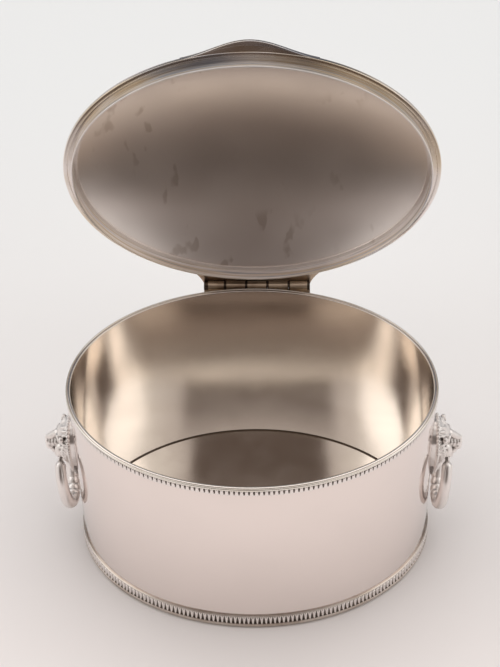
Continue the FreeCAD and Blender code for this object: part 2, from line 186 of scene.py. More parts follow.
def swept_oval(outline):
    """Vertices and faces of a closed (out, z) outline carried round the oval."""
    angles = oval_angles(AROUND)
    rows = []
    for out, z in outline:
        x = (A + out) * np.cos(angles)
        y = (B + out) * np.sin(angles)
        rows.append(np.stack([x, y, np.full(AROUND, z)], 1))
    return np.concatenate(rows), grid_faces(len(outline), AROUND)


def turned_about_hinge(outline, count):
    """Vertices and faces of a closed (x, radius) outline turned about the hinge axis."""
    rows = []
    turn = np.arange(count) * 2 * math.pi / count
    for x, radius in outline:
        y = HINGE.y + radius * np.cos(turn)
        z = HINGE.z + radius * np.sin(turn)
        rows.append(np.stack([np.full(count, x), y, z], 1))
    return np.concatenate(rows), grid_faces(len(outline), count)


# ------------------------------------------------------------------ materials


class Nodes:
    """Small helper that adds and links shader nodes."""

    def __init__(self, material):
        material.use_nodes = True
        self.tree = material.node_tree
        self.tree.nodes.clear()

    def add(self, kind, **inputs):
        """A new node with some inputs set or linked."""
        node = self.tree.nodes.new(kind)
        for key, value in inputs.items():
            self.set(node, key.replace("_", " "), value)
        return node

    def set(self, node, key, value):
        """Links a socket, or sets a plain value."""
        socket = node.inputs[key]
        if isinstance(value, bpy.types.NodeSocket):
            self.tree.links.new(value, socket)
        else:
            socket.default_value = value

    def link(self, value, socket):
        """Links one socket to another."""
        self.tree.links.new(value, socket)

    def noise(self, scale, detail=4, stretch=(1, 1, 1), offset=0.0):
        """Noise over the shape, as a 0 to 1 value; scale is features per metre."""
        place = self.tree.nodes.new("ShaderNodeAttribute")
        place.attribute_name = "place"
        mapping = self.add("ShaderNodeMapping", Vector=place.outputs["Vector"])
        mapping.inputs["Scale"].default_value = stretch
        mapping.inputs["Location"].default_value = (offset, offset * 0.7, offset * 1.3)
        noise = self.add("ShaderNodeTexNoise", Vector=mapping.outputs["Vector"], Scale=scale,
                         Detail=detail)
        return noise.outputs["Fac"]

    def ramp(self, value, low, high, out_low=0.0, out_high=1.0):
        """Maps low..high to out_low..out_high, clamped."""
        node = self.add("ShaderNodeMapRange")
        node.interpolation_type = "SMOOTHSTEP"
        self.link(value, node.inputs["Value"])
        node.inputs["From Min"].default_value = low
        node.inputs["From Max"].default_value = high
        node.inputs["To Min"].default_value = out_low
        node.inputs["To Max"].default_value = out_high
        return node.outputs["Result"]

    def math(self, operation, first, second=0.0):
        """One sum on values or sockets."""
        node = self.tree.nodes.new("ShaderNodeMath")
        node.operation = operation
        for index, value in enumerate((first, second)):
            if isinstance(value, bpy.types.NodeSocket):
                self.tree.links.new(value, node.inputs[index])
            else:
                node.inputs[index].default_value = value
        return node.outputs[0]

    def mix(self, share, first, second):
        """Colour mix by a 0 to 1 share."""
        node = self.tree.nodes.new("ShaderNodeMix")
        node.data_type = "RGBA"
        inputs = node.inputs
        for socket, value in ((inputs[0], share), (inputs[6], first), (inputs[7], second)):
            if isinstance(value, bpy.types.NodeSocket):
                self.tree.links.new(value, socket)
            else:
                socket.default_value = value
        return node.outputs[2]

    def bump(self, height, distance, normal=None):
        """Relief of up to distance metres, on top of an earlier relief if one is given."""
        node = self.add("ShaderNodeBump", Height=height, Strength=1.0, Distance=distance)
        if normal is not None:
            self.link(normal, node.inputs["Normal"])
        return node.outputs["Normal"]

    def hollow(self, kind, distance):
        """1 deep in a hollow, 0 in the open: from the mesh's own "gap" values, or from occlusion."""
        if kind == "gap":
            node = self.tree.nodes.new("ShaderNodeAttribute")
            node.attribute_name = "gap"
            return node.outputs["Fac"]
        node = self.tree.nodes.new("ShaderNodeAmbientOcclusion")
        node.samples = 8
        node.only_local = kind == "own"
        node.inputs["Distance"].default_value = distance
        return self.math("SUBTRACT", 1.0, node.outputs["AO"])


def colour(red, green, blue):
    """An opaque linear colour."""
    return (red, green, blue, 1.0)


SILVER = colour(0.88, 0.835, 0.81)
# Near-black: oxide in the floor seam, and painted shade with some oxide in hollows.
OXIDE_AND_SHADE = colour(0.075, 0.055, 0.045)
YELLOW_TONE = colour(0.66, 0.53, 0.35)
BROWN_TONE = colour(0.30, 0.20, 0.13)
BLUE_TONE = colour(0.34, 0.36, 0.42)
SMUDGE_TONE = colour(0.72, 0.67, 0.64)

# Features per metre of the patterns in the silver.
CLOUD_SCALE = 38
PATCH_SCALE = 60
STREAK_SCALE = 60
SPOT_SCALE = 150
SPOT_FIELD_SCALE = 28
WAVE_SCALE = 26
SCRATCH_SCALE = 500


def silver(name, base=SILVER, roughness=0.12, smudge=0.1, toned=0.0, tone=YELLOW_TONE, streak=0.0,
           waviness=0.02, scratches=0.0, marks=0.0, hollows="", hollow_size=0.0015):
    """Silver with handling smudges, toning, slight waviness, fine scratches and hollows darkened by
    painted shade and oxide.
    """
    material = bpy.data.materials.new(name)
    n = Nodes(material)
    cloud = n.noise(CLOUD_SCALE, detail=2)
    rough = n.ramp(cloud, 0.35, 0.75, roughness, roughness + smudge)
    tint = n.mix(n.ramp(cloud, 0.4, 0.8, 0.0, 0.10), base, SMUDGE_TONE)
    if toned > 0:
        patch = n.noise(PATCH_SCALE, detail=3, offset=7.7)
        tint = n.mix(n.ramp(patch, 0.42, 0.68, 0.0, toned), tint, tone)
    if streak > 0:
        gold = n.noise(STREAK_SCALE, detail=3, stretch=(0.35, 0.35, 16), offset=2.3)
        blue = n.noise(STREAK_SCALE, detail=2, stretch=(0.35, 0.35, 12), offset=9.1)
        tint = n.mix(n.ramp(gold, 0.46, 0.62, 0.0, streak), tint, YELLOW_TONE)
        tint = n.mix(n.ramp(blue, 0.50, 0.66, 0.0, streak), tint, BLUE_TONE)
    if marks > 0:
        spots = n.noise(SPOT_SCALE, detail=2, stretch=(1.0, 0.45, 1.0), offset=3.1)
        where = n.ramp(n.noise(SPOT_FIELD_SCALE, detail=1, offset=6.2), 0.5, 0.62)
        share = n.math("MULTIPLY", where, n.ramp(spots, 0.60, 0.68, 0.0, marks))
        tint = n.mix(share, tint, BROWN_TONE)
    # Painted shade, partly oxide: hollows found by occlusion or by the mesh's gap values darken toward
    # near-black.
    if hollows:
        share = n.ramp(n.hollow(hollows, hollow_size), 0.10, 0.60, 0.0, 0.95)
        tint = n.mix(share, tint, OXIDE_AND_SHADE)
    normal = n.bump(n.noise(WAVE_SCALE, detail=1, offset=1.9), waviness * MM)
    if scratches > 0:
        lines = n.noise(SCRATCH_SCALE, detail=2, stretch=(1, 1, 0.05), offset=5.3)
        normal = n.bump(lines, scratches * MM, normal=normal)
    shader = n.add("ShaderNodeBsdfPrincipled", Base_Color=tint, Metallic=1.0, Roughness=rough)
    n.link(normal, shader.inputs["Normal"])
    output = n.add("ShaderNodeOutputMaterial")
    n.link(shader.outputs["BSDF"], output.inputs["Surface"])
    return material


MATERIALS = {
    "outside": silver("outside_silver", base=colour(0.88, 0.80, 0.765), roughness=0.08, smudge=0.07,
                      waviness=0.03),
    "inside": silver("inside_silver", base=colour(0.91, 0.85, 0.79), roughness=0.13, smudge=0.05,
                     waviness=0.05, scratches=0.004),
    "bottom": silver("floor_silver", base=colour(0.90, 0.84, 0.78), roughness=0.12, smudge=0.08,
                     toned=0.10, tone=BROWN_TONE, waviness=0.05, scratches=0.004),
    "seam": silver("seam_silver", base=colour(0.12, 0.085, 0.06), roughness=0.4, toned=0.6,
                   tone=OXIDE_AND_SHADE),
    "rim": silver("rim_silver", base=colour(0.86, 0.82, 0.76), roughness=0.12, smudge=0.08,
                  toned=0.25),
    "foot": silver("foot_silver", base=colour(0.60, 0.54, 0.49), roughness=0.16, smudge=0.08, toned=0.4,
                   tone=BROWN_TONE),
    # Bead gaps darken: painted shade, partly oxide.
    "beads": silver("bead_silver", roughness=0.16, smudge=0.08, hollows="gap"),
    # Painted shade: occlusion from the mask darkens the plate round and under it.
    "plate": silver("plate_silver", roughness=0.18, smudge=0.06, hollows="near", hollow_size=0.007),
    "lid_inside": silver("lid_inside_silver", base=colour(0.86, 0.79, 0.75), roughness=0.32,
                         smudge=0.05, waviness=0.03, marks=0.3),
    "lid_outside": silver("lid_outside_silver", roughness=0.14, smudge=0.10, waviness=0.03),
    "lid_edge": silver("lid_edge_silver", roughness=0.16, smudge=0.08, toned=0.25, streak=0.7),
    "collar": silver("collar_silver", base=colour(0.92, 0.88, 0.86), roughness=0.42, smudge=0.10,
                     streak=0.6),
    # Painted shade: occlusion from nearby parts darkens the brackets next to the knuckles and flange.
    "hinge": silver("hinge_silver", base=colour(0.70, 0.58, 0.46), roughness=0.32, smudge=0.12,
                    toned=0.75, tone=BROWN_TONE, hollows="near", hollow_size=0.0005),
    # Painted shade at the knuckle joins, from the knuckles' gap values.
    "knuckle": silver("knuckle_silver", base=colour(0.74, 0.60, 0.46), roughness=0.32, smudge=0.12,
                      toned=0.7, tone=BROWN_TONE, hollows="gap"),
    "pin": silver("pin_silver", base=colour(0.35, 0.30, 0.26), roughness=0.35, smudge=0.15, toned=0.5,
                  tone=BROWN_TONE),
    # Painted shade, partly oxide: occlusion darkens the mask's and ring's own hollows.
    "cast": silver("cast_silver", roughness=0.30, smudge=0.08, waviness=0.02, hollows="own",
                   hollow_size=0.0022),
}

# ------------------------------------------------------------------ bowl


def build_wall():
    """The upright oval wall; its inner face has its own silver."""
    outline = rounded([
        (0, WALL_LOW, 0.1), (0, RIM_Z, 0.35), (WALL_OUT, RIM_Z, 0.4), (WALL_OUT, WALL_LOW, 0.1)])
    verts, faces = swept_oval(outline)
    piece = make_piece("bowl_wall", verts, faces, MATERIALS["outside"], "bowl",
                       ["wall"])
    piece.data.materials.append(MATERIALS["inside"])
    middle = WALL_OUT / 2 * MM
    for face in piece.data.polygons:
        x, y = face.center.xy
        if math.hypot(x / (A * MM + middle), y / (B * MM + middle)) < 1:
            face.material_index = 1


def build_floor():
    """A thin oval plate, and the darkened seam where it meets the wall."""
    rings = 30
    clearance = 0.01
    seam_width = 0.55
    seam_height = 0.3
    seam_low = FLOOR_Z + 0.005
    angles = oval_angles(AROUND // 2)
    count = len(angles)
    verts = []
    for height in (FLOOR_Z, WALL_LOW):
        for index in range(1, rings + 1):
            share = math.sin(math.pi / 2 * index / rings)
            for angle in angles:
                x = (A - clearance) * share * math.cos(angle)
                y = (B - clearance) * share * math.sin(angle)
                verts.append((x, y, height))
        verts.append((0, 0, height))
    skin = rings * count + 1
    faces = []
    for start in (0, skin):
        for j in range(count):
            k = (j + 1) % count
            faces.append((start + skin - 1, start + j, start + k))
            for i in range(rings - 1):
                row = start + i * count
                faces.append((row + j, row + count + j, row + count + k, row + k))
    last = (rings - 1) * count
    for j in range(count):
        k = (j + 1) % count
        faces.append((last + j, last + skin + j, last + skin + k, last + k))
    make_piece("bowl_floor", verts, faces, MATERIALS["bottom"], "bowl", ["floor"])
    seam = rounded([
        (-seam_width, seam_low, 0), (-clearance, seam_low, 0), (-clearance, FLOOR_Z + seam_height, 0)])
    verts, faces = swept_oval(seam)
    make_piece("floor_seam", verts, faces, MATERIALS["seam"], "bowl")


def build_rim():
    """The flat band round the top edge, with a thinner backing behind the beads."""
    inner = WALL_OUT + FIT_GAP
    band = RIM_Z - 1.0
    backing = 1.4
    backing_low = box_mm("rim_moulding")[0].z
    edge = RIM_OUT - 0.15
    outline = rounded([
        (inner, backing_low, 0.05), (inner, RIM_Z, 0.35), (edge, RIM_Z, 0.4),
        (edge, band, 0.15), (backing, band, 0), (backing, backing_low, 0.1)])
    verts, faces = swept_oval(outline)
    make_piece("rim_band", verts, faces, MATERIALS["rim"], "bowl", ["rim_moulding"])


def tongue(across, along):
    """Height, 0 to 1, of one bead: straight sides at along 0, narrowing to a round tip at 1."""
    widest = 0.86
    taper = 0.26
    straight = 0.72
    tip = 0.28
    half = widest - taper * along
    if along > straight:
        half *= math.sqrt(max(0.0, 1 - ((along - straight) / tip) ** 2))
    if half < 0.02 or abs(across) >= half:
        return 0.0
    crown = math.sqrt(1 - (across / half) ** 2)
    ends = min(1.0, 0.55 + along * 6)
    return crown * ends


def build_beads(name, node, inner, valley, crest, count, tip_down):
    """A band of beads; the tips point down on the foot and up on the rim."""
    low, high = box_mm(node)
    per_bead = 12
    rows = 13
    least_gap = 0.4
    stations = oval_angles(count * per_bead)
    total = len(stations)
    across = ((np.arange(total) % per_bead) + 0.5) / per_bead * 2 - 1
    profile_rows = []
    for index in range(rows):
        share = index / (rows - 1)
        z = low.z + (high.z - low.z) * share
        along = 1 - share if tip_down else share
        height = np.array([tongue(u, along) for u in across])
        profile_rows.append((valley + (crest - valley) * height, z, 1 - height))
    closed = np.zeros(total)
    profile_rows.append((np.full(total, inner), high.z, closed))
    profile_rows.append((np.full(total, inner), low.z, closed))
    verts = []
    for out, z, gap in profile_rows:
        x = (A + out) * np.cos(stations)
        y = (B + out) * np.sin(stations)
        verts.append(np.stack([x, y, np.full(total, z)], 1))
    faces = grid_faces(len(profile_rows), total)
    piece = make_piece(name, np.concatenate(verts), faces, MATERIALS["beads"], "bowl",
                       [node], sharp=50)
    # Bead valleys get gap values: painted shade between the beads, partly oxide.
    remember_gaps(piece, np.concatenate([row[2] for row in profile_rows]) - least_gap)


def build_foot():
    """The stepped foot: a shelf over the beads, and a rounded lip that stands on the table."""
    inner = WALL_OUT + FIT_GAP
    low_bead, high_bead = box_mm("foot_beads")
    backing = 1.42
    shelf = 1.9
    lip_top = 1.9
    lip_turn = 0.9
    toe = 1.6
    outline = rounded([
        (inner, 0, 0.1), (inner, FOOT_TOP - 0.35, 0), (inner + 0.25, FOOT_TOP - 0.35, 0.1),
        (shelf, FOOT_TOP - 0.6, 0.25), (shelf, high_bead.z, 0.15),
        (backing, high_bead.z, 0), (backing, low_bead.z, 0),
        (FOOT_OUT - 0.1, low_bead.z, 0.25), (FOOT_OUT, lip_top, 0.4),
        (FOOT_OUT - 0.3, lip_turn, 0.5), (toe, 0, 0.3)])
    verts, faces = swept_oval(outline)
    make_piece("foot_border", verts, faces, MATERIALS["foot"], "bowl",
               ["foot_moulding"])


# ------------------------------------------------------------------ hinge


def build_hinge():
    """Five rolled knuckles with painted shade at the gaps between them, the wire through them and both
    brackets.
    """
    knuckles = [
        ("body_knuckle_left", "bowl"), ("lid_knuckle_left", "lid"), ("body_knuckle_middle", "bowl"),
        ("lid_knuckle_right", "lid"), ("body_knuckle_right", "bowl")]
    bore = 0.95
    lid_radius = 2.0
    edge = 0.15
    fade = 0.3
    # Gap values paint shade at each knuckle's ends where they meet; the two outermost ends darken over
    # a wider band.
    dark_ends = {"body_knuckle_left": (1.6, 0.3), "body_knuckle_right": (0.3, 1.0)}
    for node, body in knuckles:
        low, high = box_mm(node)
        radius = (high.z - low.z) / 2 if body == "bowl" else lid_radius
        left, right = dark_ends.get(node, (0.3, 0.3))
        outline = [
            (low.x, bore, 1), (high.x, bore, 1), (high.x, radius - edge, 1), (high.x - edge, radius, 1),
            (high.x - right, radius, 0.9), (high.x - right - fade, radius, 0),
            (low.x + left + fade, radius, 0), (low.x + left, radius, 0.9),
            (low.x + edge, radius, 1), (low.x, radius - edge, 1)]
        verts, faces = turned_about_hinge([(x, reach) for x, reach, gap in outline], KNUCKLE_SIDES)
        piece = make_piece("hinge_" + node, verts, faces, MATERIALS["knuckle"], body,
                           [node])
        remember_gaps(piece, np.repeat([gap for x, reach, gap in outline], KNUCKLE_SIDES))
    low, high = box_mm("hinge_pin")
    centre = 0.001
    end_radius = 0.6
    wire_radius = 0.88
    chamfer = 0.3
    outline = [
        (low.x, centre), (low.x, end_radius), (low.x + chamfer, wire_radius),
        (high.x - chamfer, wire_radius), (high.x, end_radius), (high.x, centre)]
    verts, faces = turned_about_hinge(outline, PIN_SIDES)
    make_piece("hinge_wire", verts, faces, MATERIALS["pin"], "bowl", ["hinge_pin"],
               sharp=60)
    build_bracket("hinge_shelf", "hinge_bracket", "bowl", False)
    build_bracket("hinge_flare", "lid_hinge_bracket", "lid", True)


def build_bracket(name, node, body, on_lid):
    """A bracket with its edges rounded over."""
    mesh = frame["nodes"][node].data.copy()
    mesh.materials.clear()
    if on_lid:
        mesh.transform(LID_OPEN.inverted())
    piece = finish_mesh(name, mesh, MATERIALS["hinge"], body, [node], 35, on_lid)
    soften = piece.modifiers.new("soft_edges", "BEVEL")
    soften.width = 0.18 * MM
    soften.segments = 2
    soften.limit_method = "ANGLE"


# ------------------------------------------------------------------ lid


def lid_ring(name, corners, material, node):
    """A lid moulding from (out, height over the rim, radius) corners."""
    outline = rounded([(out, RIM_Z + height, radius) for out, height, radius in corners])
    verts, faces = swept_oval(outline)
    make_piece(name, verts, faces, MATERIALS[material], "lid", [node], on_lid=True)


def build_lid_rings():
    """The lid's border, the collar that drops into the bowl and the step inside the collar."""
    lid_ring("lid_edge_moulding", [
        (-0.33, 0.05, 0), (1.35, 0.05, 0.05), (1.5, 0.2, 0.05), (1.65, 0.05, 0.05),
        (LID_OUT, 0.05, 0.45), (LID_OUT, 1.9, 0.5), (2.2, 2.1, 0.1), (2.1, 2.35, 0.1), (1.4, 2.4, 0.3),
        (0.5, 2.9, 0.9), (0.05, 4.15, 0.1), (-0.33, 4.2, 0)],
        "lid_edge", "lid_border")
    lid_ring("lid_collar", [
        (-1.1, -4.2, 0.33), (-0.35, -4.2, 0.33), (-0.35, 1.18, 0), (-1.1, 1.18, 0)],
        "collar", "lid_bezel")
    lid_ring("lid_inner_step", [
        (-2.6, 1.2, 0.3), (-0.35, 1.2, 0), (-0.35, 1.98, 0), (-2.6, 1.98, 0.2)],
        "lid_inside", "lid_step_ring")


def dome_points(stretch_x, stretch_y, spring, crown, rings, angles):
    """Grid of points over the dome, from the side up; the crown is one last point."""
    points = []
    widest = math.radians(60)
    for index in range(rings):
        turn = widest * (1 - index / rings)
        share = math.sin(turn) / math.sin(widest)
        rise = (math.cos(turn) - math.cos(widest)) / (1 - math.cos(widest))
        for angle in angles:
            x = stretch_x * share * math.cos(angle)
            y = stretch_y * share * math.sin(angle)
            points.append((x, y, spring + (crown - spring) * rise))
    points.append((0, 0, crown))
    return points


def build_dome():
    """Outer and inner skins of the dome, joined along the bottom edge."""
    rings = 72
    angles = oval_angles(AROUND // 2)
    count = len(angles)
    base = RIM_Z + 2.0
    spring = RIM_Z + 3.2
    crown = RIM_Z + 17.0
    inset = 0.35
    outer_x = A - inset
    outer_y = B - inset
    sheet = 0.9
    outer = dome_points(outer_x, outer_y, spring, crown, rings, angles)
    inner = dome_points(outer_x - sheet, outer_y - sheet, spring, crown - sheet, rings, angles)
    edge_outer = [(outer_x * math.cos(t), outer_y * math.sin(t), base) for t in angles]
    edge_inner = [
        ((outer_x - sheet) * math.cos(t), (outer_y - sheet) * math.sin(t), base) for t in angles]
    verts = edge_outer + outer + edge_inner + inner
    skin = (rings + 1) * count + 1
    faces = []
    for start in (0, skin):
        for i in range(rings):
            for j in range(count):
                k = (j + 1) % count
                row = start + i * count
                faces.append((row + j, row + count + j, row + count + k, row + k))
        top = start + rings * count
        for j in range(count):
            faces.append((top + j, start + skin - 1, top + (j + 1) % count))
    for j in range(count):
        k = (j + 1) % count
        faces.append((j, k, skin + k, skin + j))
    piece = make_piece("lid_dome_shell", verts, faces, MATERIALS["lid_outside"], "lid",
                       ["lid_dome"], on_lid=True)
    piece.data.materials.append(MATERIALS["lid_inside"])
    inner_faces = range(rings * count + count, 2 * (rings * count + count))
    for index in inner_faces:
        piece.data.polygons[index].material_index = 1


def build_thumb_piece():
    """Lifting tab: bell-shaped outline, rounded edge, curling up a little at the tip."""
    half = 27.0
    reach = -closed_tab_tip() - (B + LID_OUT)
    columns = 72
    root = -0.9
    low = 0.5
    high = 2.1
    bell_power = 1.05
    curl_height = 0.7
    section = rounded([(root, low, 0), (1, low, 0.45), (1, high, 0.45), (root, high, 0)], steps=6)
    verts = []
    for index in range(columns + 1):
        s = index / columns * 2 - 1
        x = half * s
        bell = (0.5 + 0.5 * math.cos(math.pi * s)) ** bell_power
        edge = (B + LID_OUT) * math.sqrt(1 - (x / (A + LID_OUT)) ** 2)
        length = reach * bell
        for out, z in section:
            along = max(out, 0)
            inward = min(out, 0)
            y = -(edge + inward + length * along)
            curl = curl_height * bell * (along ** 2) * (length / reach)
            verts.append((x, y, RIM_Z + z + curl))
    faces = grid_faces(columns + 1, len(section), close_rows=False)
    last = columns * len(section)
    faces.append(tuple(range(len(section))))
    faces.append(tuple(range(last, last + len(section))))
    make_piece("lid_thumb_tab", verts, faces, MATERIALS["lid_edge"], "lid",
               ["thumb_piece"], on_lid=True)


def closed_tab_tip():
    """Y of the thumb-piece's tip in millimetres when the lid is closed."""
    close = LID_OPEN.inverted()
    tab = frame["nodes"]["thumb_piece"]
    return min((close @ vertex.co).y for vertex in tab.data.vertices) / MM


# ------------------------------------------------------------------ handles


def mirrored_copy(piece, name, nodes, body):
    """The left-hand twin of a right-hand piece."""
    mesh = piece.data.copy()
    mesh.name = name
    mesh.transform(Matrix.Scale(-1, 4, Vector((1, 0, 0))))
    mesh.flip_normals()
    twin = bpy.data.objects.new(name, mesh)
    bpy.context.scene.collection.objects.link(twin)
    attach(twin, body)
    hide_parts(*nodes)
    return twin


def wall_x(y):
    """X of the wall's outer face at a distance y from the middle plane."""
    return (A + WALL_OUT) * np.sqrt(1 - (y / (B + WALL_OUT)) ** 2)


def build_plates():
    """Thin backing, cut to the wall behind, that the mask's casting covers."""
    side_inset = 2.2
    end_inset = 1.2
    half_y = PLATE_HIGH.y - side_inset
    half_z = (PLATE_HIGH.z - PLATE_LOW.z) / 2 - end_inset
    centre_z = (PLATE_HIGH.z + PLATE_LOW.z) / 2
    count = 96
    rows = []
    turn = np.arange(count) * 2 * math.pi / count
    for inset, rise in ((0, 0.02), (0, 1.1), (0.1, 1.3), (0.3, 1.4), (3.0, 1.45)):
        y = (half_y - inset) * np.cos(turn)
        z = centre_z + (half_z - inset) * np.sin(turn)
        rows.append(np.stack([wall_x(y) + rise, y, z], 1))
    faces = grid_faces(len(rows), count, close_rows=False)
    faces.append(tuple(range(count)))
    faces.append(tuple(range((len(rows) - 1) * count, len(rows) * count)))
    right = make_piece("right_backing_plate", np.concatenate(rows), faces, MATERIALS["plate"], "bowl",
                       ["right_handle_plate"])
    mirrored_copy(right, "left_backing_plate", ["left_handle_plate"], "bowl")


class Sculpt:
    """Collects overlapping lumps in (outward, across, up) millimetres for one remesh."""

    def __init__(self, origin):
        self.origin = origin
        self.mesh = bmesh.new()

    def lump(self, centre, radii, tilt=0.0):
        """An ellipsoid; tilt turns it about the outward axis, in degrees."""
        place = Matrix.Translation(self.origin + Vector(centre))
        turn = Matrix.Rotation(math.radians(tilt), 4, "X")
        size = Matrix.Diagonal((*radii, 1))
        bmesh.ops.create_icosphere(self.mesh, subdivisions=3, radius=1, matrix=place @ turn @ size)

    def strand(self, points, radii):
        """A chain of close lumps through the points, a lock of hair or a ridge."""
        for (start, end), (r1, r2) in zip(zip(points, points[1:]), zip(radii, radii[1:])):
            start, end = Vector(start), Vector(end)
            count = max(2, int((end - start).length / (min(r1, r2) * 0.45)))
            for step in range(count + 1):
                t = step / count
                radius = r1 + (r2 - r1) * t
                place = Matrix.Translation(self.origin + start.lerp(end, t))
                size = Matrix.Diagonal((radius, radius, radius, 1))
                bmesh.ops.create_icosphere(self.mesh, subdivisions=2, radius=1, matrix=place @ size)

    def slab(self, outline, inner, outer):
        """A flat-backed block from an (across, up) outline."""
        low = [self.mesh.verts.new(self.origin + Vector((inner, y, z))) for y, z in outline]
        high = [self.mesh.verts.new(self.origin + Vector((outer, y, z))) for y, z in outline]
        self.mesh.faces.new(low)
        self.mesh.faces.new(list(reversed(high)))
        count = len(outline)
        for j in range(count):
            k = (j + 1) % count
            self.mesh.faces.new((low[k], low[j], high[j], high[k]))

    def both(self, centre, radii, tilt=0.0):
        """The same lump on both sides of the face."""
        for side in (1, -1):
            self.lump((centre[0], centre[1] * side, centre[2]), radii, tilt * side)

    def both_strands(self, points, radii):
        """The same strand on both sides of the face."""
        for side in (1, -1):
            self.strand([(d, y * side, z) for d, y, z in points], radii)


def remeshed(work, name, voxel, smooth):
    """The collected lumps as one skin."""
    mesh = bpy.data.meshes.new(name)
    work.to_mesh(mesh)
    work.free()
    mesh.transform(Matrix.Scale(MM, 4))
    holder = bpy.data.objects.new(name + "_work", mesh)
    bpy.context.scene.collection.objects.link(holder)
    modifier = holder.modifiers.new("skin", "REMESH")
    modifier.mode = "VOXEL"
    modifier.voxel_size = voxel * MM
    relax = holder.modifiers.new("relax", "SMOOTH")
    relax.factor = 0.5
    relax.iterations = smooth
    depsgraph = bpy.context.evaluated_depsgraph_get()
    result = bpy.data.meshes.new_from_object(holder.evaluated_get(depsgraph))
    bpy.data.objects.remove(holder)
    return result


# One side of the mane's outline, (across, up) from the mask's centre, crown to beard tip.
MANE = [
    (0, 12.3), (3.4, 12.1), (6.2, 10.6), (8.3, 7.6), (9.1, 3.6), (8.9, -0.8), (8.0, -4.8),
    (6.9, -8.4), (5.6, -11.8), (4.0, -14.9), (2.2, -17.4), (0, -18.6)]
MASK_MIDDLE_Z = 56.3


def mane_point(share, shrink):
    """Point on the right half of the mane's outline, moved in by shrink."""
    spans = np.array(MANE)
    reach = np.concatenate([[0], np.cumsum(np.hypot(*np.diff(spans, axis=0).T))])
    y = np.interp(share * reach[-1], reach, spans[:, 0])
    z = np.interp(share * reach[-1], reach, spans[:, 1])
    length = max(1e-6, math.hypot(y, z + 1.5))
    return y - shrink * y / length, z - shrink * (z + 1.5) / length


def mane_depth(y, z):
    """Outward height of the mane's domed surface."""
    inside = 1 - (y / 8.5) ** 2 - ((z - 0.6) / 11.6) ** 2
    return -2.2 + 5.6 * math.sqrt(max(0.0, inside))


def sculpt_mane(s):
    """A domed casting on the wall, small curls round its edge and swept locks over it."""
    outline = [mane_point(k / 40, 0.6) for k in range(41)]
    outline += [(-y, z) for y, z in reversed(outline[1:-1])]
    s.slab(outline, -6.0, -1.9)
    s.lump((-2.2, 0, 0.6), (5.6, 8.5, 11.6))
    s.lump((-2.0, 0, -9.4), (3.4, 5.4, 8.8))
    for index in range(24):
        y, z = mane_point((index + 0.5) / 24, 0.55)
        s.both((-1.45, y, z), (0.72, 0.74, 0.74))
    for first, last, width, count in ((1.5, 3.6, 0.85, 15), (3.5, 5.4, 0.8, 12)):
        for index in range(count):
            share = (index + 0.5) / count * 0.86
            y1, z1 = mane_point(share, last)
            y2, z2 = mane_point(share + 0.02, (first + last) / 2)
            y3, z3 = mane_point(share + 0.035, first)
            s.both_strands([(mane_depth(y1, z1) - 0.25, y1, z1), (mane_depth(y2, z2) - 0.1, y2, z2),
                            (mane_depth(y3, z3) - 0.3, y3, z3)], [width * 0.8, width, width * 0.5])


def sculpt_face(s):
    """Brow, eyes, nose, muzzle, cheeks, chin with its beard, and ears."""
    s.lump((0.6, 0, 4.0), (3.4, 5.0, 6.0))
    s.both_strands([(3.6, 1.1, 5.6), (3.3, 3.0, 5.9), (2.0, 5.2, 4.9)], [0.8, 0.9, 0.6])
    s.both((3.0, 3.0, 3.9), (0.95, 1.1, 0.9))
    s.strand([(3.7, 0, 5.2), (6.0, 0, 3.6), (7.8, 0, 2.3)], [1.8, 1.6, 1.3])
    s.strand([(2.5, 0, 0.6), (6.6, 0, 0.1)], [3.2, 2.8])
    s.lump((8.1, 0, 1.3), (1.1, 2.1, 1.25))
    s.both((7.7, 1.5, 0.7), (1.0, 0.85, 0.85))
    s.both((7.0, 1.45, -1.1), (2.0, 1.65, 2.0))
    s.both((2.4, 4.0, -1.2), (2.6, 2.2, 3.6), 10)
    s.lump((5.2, 0, -3.8), (2.5, 2.8, 2.7))
    s.lump((4.1, 0, -6.9), (2.1, 2.7, 2.4))
    s.lump((3.0, 0, -10.0), (2.0, 2.3, 2.2))
    s.lump((1.0, 0, -8.6), (2.4, 3.6, 3.4))
    s.both((1.4, 6.2, 7.4), (1.4, 1.3, 1.6), -30)


def carve(mesh, origin, spots):
    """Pushes the skin in at small hollows: (outward, across, up, radius, depth)."""
    coords = np.empty(len(mesh.vertices) * 3, np.float64)
    mesh.vertices.foreach_get("co", coords)
    local = coords.reshape(-1, 3) / MM - np.array(origin)
    for outward, across, up, radius, depth in spots:
        for side in (1, -1):
            gap = local - np.array([outward, across * side, up])
            weight = np.exp(-(gap ** 2).sum(1) / radius ** 2)
            local[:, 0] -= depth * weight
    settled = local + np.array(origin)
    behind = wall_x(settled[:, 1]) + 0.04
    settled[:, 0] = np.maximum(settled[:, 0], behind)
    mesh.vertices.foreach_set("co", (settled * MM).ravel())
    mesh.update()


def build_masks():
    """Lion's head with an open mouth for the ring's bar."""
    origin = Vector((MASK_BACK, 0, MASK_MIDDLE_Z))
    s = Sculpt(origin)
    sculpt_mane(s)
    sculpt_face(s)
    mesh = remeshed(s.mesh, "right_lion_mask", voxel=0.2, smooth=2)
    nostrils = (8.5, 0.8, 0.6, 0.5, 0.7)
    pupils = (3.9, 2.6, 4.0, 0.4, 0.3)
    temples = (2.2, 5.0, 3.2, 0.95, 2.0)
    ears = (2.4, 6.3, 7.8, 0.7, 1.0)
    lip = (8.2, 0.0, -0.9, 0.45, 0.35)
    carve(mesh, origin, [nostrils, pupils, temples, ears, lip])
    right = finish_mesh("right_lion_mask", mesh, MATERIALS["cast"], "bowl",
                        ["right_mask"], 70)
    clear_mouth(right)
    mirrored_copy(right, "left_lion_mask", ["left_mask"], "bowl")


